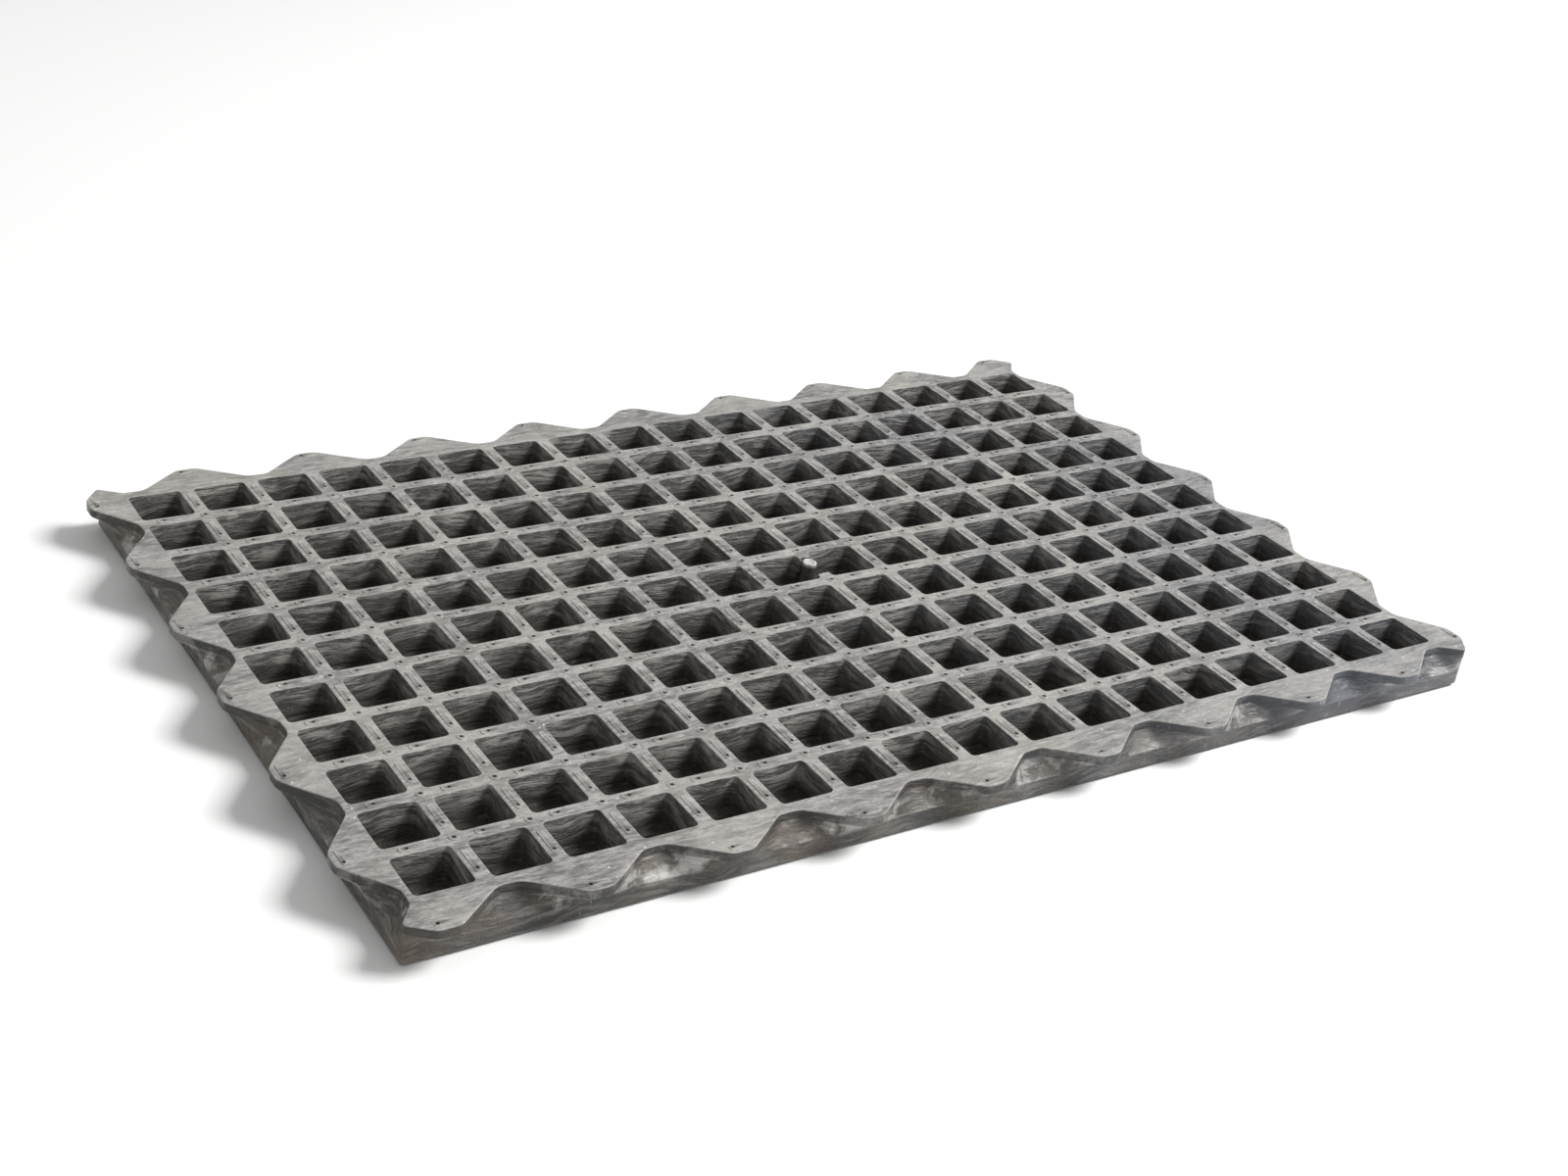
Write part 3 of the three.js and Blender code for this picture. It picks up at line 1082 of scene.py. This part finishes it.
def rim_side_plastic(finish, rim):
    """Lip darkened with painted shade, scoops lightened with painted highlights in patches, and plate edge:
    smeared streaks, some glossy, with a film of brown earth.
    """
    material, nodes, shader = new_material("rim_side_plastic")
    flow = nodes.group(flow_streaks, stretch=(30.0, 30.0, 210.0), swirl=0.04, low=0.4, high=0.62)
    place = nodes.place()
    colour = nodes.mix(flow["Streak"], finish.side_dark, finish.side)
    smear = nodes.spread(nodes.noise(place, 15.0, 5.0, 0.65), 0.44, 0.62, 0.0, 0.5)
    colour = nodes.mix(smear, colour, finish.earth)
    level = nodes.part_of(place, 2)
    # Painted shade: the lip band above the lip's foot is darkened.
    lip_foot = cad_high.z - rim.lip
    lip = nodes.spread(level, lip_foot - 0.001, lip_foot + 0.001, 0.0, 0.65)
    colour = nodes.mix(lip, colour, finish.side_dark)
    # Painted highlights: light patches in the scoops between the lip and the plate's top.
    above = nodes.spread(level, rim.plate_top - 0.006, rim.plate_top + 0.003)
    hollow = nodes.math("SUBTRACT", above, lip, clamp=True)
    scoop_highlight = nodes.spread(nodes.noise(place, 21.0, 5.0, 0.68), 0.5, 0.62, 0.0, 0.68)
    colour = nodes.mix(nodes.math("MULTIPLY", scoop_highlight, hollow), colour, finish.scuff)
    colour = nodes.coat(colour, finish.cool, batch_tone, amount=0.65)
    colour = nodes.coat(colour, finish.dust, dust_film, amount=0.3, patch_scale=14.0)
    colour = nodes.coat(colour, finish.scuff, scuffs, amount=0.7)
    colour = nodes.coat(colour, finish.worn, edge_wear_and_highlight, amount=0.6)
    roughness = nodes.spread(nodes.noise(place, 24.0, 4.0, 0.6), 0.4, 0.6, 0.16, 0.55)
    finish_shader(nodes, shader, colour, roughness, streak_height(nodes, flow), 0.0009)
    return material


def tread_face_plastic(finish, base_level):
    """Bluish grey tread face with lighter, walked-on pads and earth between them."""
    material, nodes, shader = new_material("tread_face_plastic")
    flow = nodes.group(flow_streaks, stretch=(60.0, 170.0, 120.0), swirl=0.04, low=0.36, high=0.66)
    place = nodes.place()
    level = nodes.part_of(place, 2)
    raised = nodes.spread(level, base_level * 0.6, base_level * 0.2)
    plain = nodes.mix(nodes.spread(flow["Streak"], 0.0, 1.0, 0.0, 0.5), finish.tread, finish.side_dark)
    walked = nodes.spread(nodes.noise(place, 22.0, 5.0, 0.65), 0.38, 0.6, 0.0, 0.8)
    colour = nodes.mix(raised, plain, nodes.mix(walked, finish.tread_pad, finish.tread))
    earthy = nodes.math("MULTIPLY", nodes.math("SUBTRACT", 1.0, raised), 0.6)
    patches = nodes.spread(nodes.noise(place, 30.0, 4.0, 0.6), 0.42, 0.62)
    colour = nodes.mix(nodes.math("MULTIPLY", earthy, patches), colour, finish.earth)
    colour = nodes.coat(colour, finish.scuff, scuffs, amount=0.9)
    colour = nodes.coat(colour, finish.worn, edge_wear_and_highlight, amount=0.8)
    roughness = nodes.spread(flow["Grain"], 0.38, 0.62, 0.42, 0.7)
    finish_shader(nodes, shader, colour, roughness, streak_height(nodes, flow), 0.0005)
    return material


def sprue_plastic(finish):
    """The snapped sprue: pale torn plastic, with painted shade darker down its side."""
    material, nodes, shader = new_material("sprue_plastic")
    place = nodes.place()
    level = nodes.part_of(place, 2)
    torn = nodes.noise(place, 420.0, 4.0, 0.65)
    colour = nodes.mix(nodes.spread(torn, 0.4, 0.62), finish.rib, finish.scuff)
    # Painted shade: darker down the stub's side.
    depth = nodes.spread(level, cad_high.z * 0.97, cad_high.z * 0.86, 0.0, 0.95)
    colour = nodes.mix(depth, colour, finish.soil)
    colour = nodes.coat(colour, finish.soil, settled_soil, amount=0.6)
    roughness = nodes.spread(torn, 0.35, 0.65, 0.35, 0.7)
    finish_shader(nodes, shader, colour, roughness, torn, 0.0008)
    return material


def floor_paint(colour):
    material, _, shader = new_material("floor_paint")
    shader.inputs["Base Color"].default_value = (*colour, 1)
    shader.inputs["Roughness"].default_value = 0.9
    return material


class MoulderOperator(bpy.types.Operator):
    """Build the moulded mat: cells, ribs, toothed rim and tread face."""

    bl_idname = "grid_mat.moulding"
    bl_label = "Moulded mat"
    bl_options = {"REGISTER", "UNDO"}

    def execute(self, context):
        settings = settings_of(context)
        finish = settings.finish
        place = Grid(settings)
        skin = Skin()
        for column, row in place.cells():
            build_cell(skin, place, column, row)
        build_grid_face(skin, place)
        build_tread_face(skin, place)
        upper, lower = build_rim_side(skin, place)
        build_rim_top(skin, place, upper)
        build_tread_border(skin, place, lower)
        materials = [
            grid_face_plastic(finish),
            cell_wall_plastic(finish),
            rim_side_plastic(finish, settings.rim),
            tread_face_plastic(finish, place.base_level),
        ]
        mat = skin_object(skin, "moulded_mat", materials)
        break_rib(mat, place, settings.scar)
        smooth(mat, 32)
        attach(mat, "root")
        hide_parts("grid_mat")
        return {"FINISHED"}


class StubOperator(bpy.types.Operator):
    """Build the snapped sprue that stands in the gap of the broken rib."""

    bl_idname = "grid_mat.stub"
    bl_label = "Sprue stub"
    bl_options = {"REGISTER", "UNDO"}

    def execute(self, context):
        settings = settings_of(context)
        skin = build_stub(Grid(settings), settings.scar)
        stub = skin_object(skin, "sprue_stub", [sprue_plastic(settings.finish)], uneven=False)
        smooth(stub, 60)
        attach(stub, "root")
        return {"FINISHED"}


class StageOperator(bpy.types.Operator):
    """Build the floor, the soft studio light and the camera."""

    bl_idname = "grid_mat.stage"
    bl_label = "Stage"
    bl_options = {"REGISTER", "UNDO"}

    def execute(self, context):
        stage = settings_of(context).stage
        middle = (cad_box[0] + cad_box[1]) / 2
        floor_mesh = bpy.data.meshes.new("floor")
        half = stage.floor_size / 2
        floor_mesh.from_pydata(
            [(-half, -half, 0), (half, -half, 0), (half, half, 0), (-half, half, 0)], [], [(0, 1, 2, 3)]
        )
        floor = bpy.data.objects.new("floor", floor_mesh)
        floor_mesh.materials.append(floor_paint(stage.floor))
        context.collection.objects.link(floor)
        world = bpy.data.worlds.new("studio")
        world.use_nodes = True
        world.node_tree.nodes["Background"].inputs["Color"].default_value = (1, 1, 1, 1)
        world.node_tree.nodes["Background"].inputs["Strength"].default_value = stage.surround
        context.scene.world = world
        lamp = bpy.data.lights.new("key", "AREA")
        lamp.energy, lamp.size = stage.key_power, stage.key_size
        key = bpy.data.objects.new("key", lamp)
        context.collection.objects.link(key)
        way = Vector(stage.key_way).normalized()
        key.location = middle + way * stage.key_distance
        key.rotation_euler = way.to_track_quat("Z", "Y").to_euler()
        camera_data = bpy.data.cameras.new("camera")
        camera_data.lens = stage.lens
        camera = bpy.data.objects.new("camera", camera_data)
        context.collection.objects.link(camera)
        a, e = stage.azimuth, stage.elevation
        back = Vector((math.sin(a) * math.cos(e), -math.cos(a) * math.cos(e), math.sin(e)))
        aim = back.to_track_quat("Z", "Y").to_matrix().to_4x4()
        turn = Matrix.Rotation(stage.roll, 4, "Z")
        camera.matrix_world = Matrix.Translation(middle + back * stage.distance) @ aim @ turn
        context.scene.camera = camera
        context.scene.view_settings.view_transform = "Standard"
        return {"FINISHED"}


class GridMatPanel(bpy.types.Panel):
    """Lists the steps that build the mat and the stage."""

    bl_idname = "VIEW3D_PT_grid_mat"
    bl_label = "Grid mat"
    bl_space_type = "VIEW_3D"
    bl_region_type = "UI"
    bl_category = "Grid Mat"

    def draw(self, context):
        for operator in OPERATORS:
            self.layout.operator(operator.bl_idname)


GROUPS = (GridSizes, RimSizes, TreadSizes, ScarSizes, FinishValues, StageValues, GridMatSettings)
OPERATORS = (MoulderOperator, StubOperator, StageOperator)


def register():
    for each in (*GROUPS, *OPERATORS, GridMatPanel):
        bpy.utils.register_class(each)
    bpy.types.Scene.grid_mat = PointerProperty(type=GridMatSettings)


def unregister():
    del bpy.types.Scene.grid_mat
    for each in reversed((*GROUPS, *OPERATORS, GridMatPanel)):
        bpy.utils.unregister_class(each)


def main():
    register()
    bpy.ops.grid_mat.moulding()
    bpy.ops.grid_mat.stub()
    bpy.ops.grid_mat.stage()


if __name__ == "__main__":
    main()
